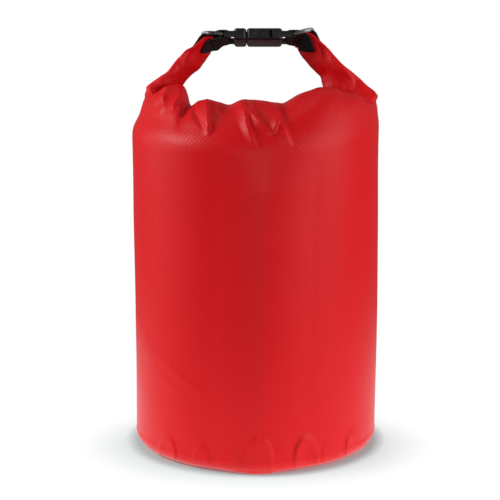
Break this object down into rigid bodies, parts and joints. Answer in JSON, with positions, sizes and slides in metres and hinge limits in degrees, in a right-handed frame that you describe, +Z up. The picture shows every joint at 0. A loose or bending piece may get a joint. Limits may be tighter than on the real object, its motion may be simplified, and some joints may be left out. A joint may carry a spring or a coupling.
{
  "type": "roll-top dry bag",
  "caption": "Roll-top dry bag with a round base, its rolled mouth clipped into a carrying handle by a side-release buckle with a D-ring at each end.",
  "frame": {"origin": "middle of the round base, on the floor", "axes": "+Z up the bag to its handle, -Y to the front, +X to the buckle's socket end"},
  "size_m": [0.2, 0.2, 0.342],
  "materials": {
    "red_fabric": "coated, semi-gloss",
    "seam_tape": "heat-sealed film tape",
    "stiffener": "bendable strip",
    "webbing": "woven polyester",
    "thread": "dense stitching",
    "ring_plastic": "moulded, glossy",
    "buckle_plastic": "moulded, semi-gloss"
  },
  "bodies": {
    "bag": {"bag_wall": "red_fabric", "base_panel": "red_fabric", "base_seam_tape": "seam_tape", "back_seam_tape": "seam_tape", "roll_centre": "red_fabric", "stiffener_centre": "stiffener"},
    "handle": {"left_roll_arm": "red_fabric", "stiffener_left": "stiffener", "right_roll_arm_lower": "red_fabric", "left_webbing_tab": "webbing", "left_bar_tacks": "thread", "buckle_plug": "buckle_plastic"},
    "socket_side": {"right_roll_arm_upper": "red_fabric", "stiffener_right": "stiffener", "right_webbing_tab": "webbing", "right_bar_tacks": "thread", "buckle_socket": "buckle_plastic"},
    "front_prong": {"front_release_prong": "buckle_plastic"},
    "back_prong": {"back_release_prong": "buckle_plastic"},
    "left_ring": {"left_d_ring": "ring_plastic"},
    "right_ring": {"right_d_ring": "ring_plastic"}
  },
  "joints": [
    {"name": "handle_tilt", "type": "hinge", "parent": "bag", "child": "handle", "pos_m": [0, 0, 0.287], "axis": [1, 0, 0], "range_deg": [-36, 72]},
    {"name": "buckle_release", "type": "slide", "parent": "handle", "child": "socket_side", "axis": [1, 0, 0], "range_m": [0, 0.026], "deforming": ["front_release_prong", "back_release_prong"]},
    {"name": "front_prong_squeeze", "type": "hinge", "parent": "handle", "child": "front_prong", "pos_m": [-0.0097, 0.0041, 0.33576], "axis": [0, 0.2756, 0.9613], "range_deg": [0, 7], "stiffness_Nm_per_rad": 0.8},
    {"name": "back_prong_squeeze", "type": "hinge", "parent": "handle", "child": "back_prong", "pos_m": [-0.0097, 0.02236, 0.33052], "axis": [0, -0.2756, -0.9613], "range_deg": [0, 7], "stiffness_Nm_per_rad": 0.8},
    {"name": "left_ring_swing", "type": "hinge", "parent": "handle", "child": "left_ring", "pos_m": [-0.0278, 0.01323, 0.33314], "axis": [0, 0.9613, -0.2756], "range_deg": [-6, 90]},
    {"name": "right_ring_swing", "type": "hinge", "parent": "socket_side", "child": "right_ring", "pos_m": [0.032, 0.01323, 0.33314], "axis": [0, -0.9613, 0.2756], "range_deg": [-6, 86]}
  ]
}
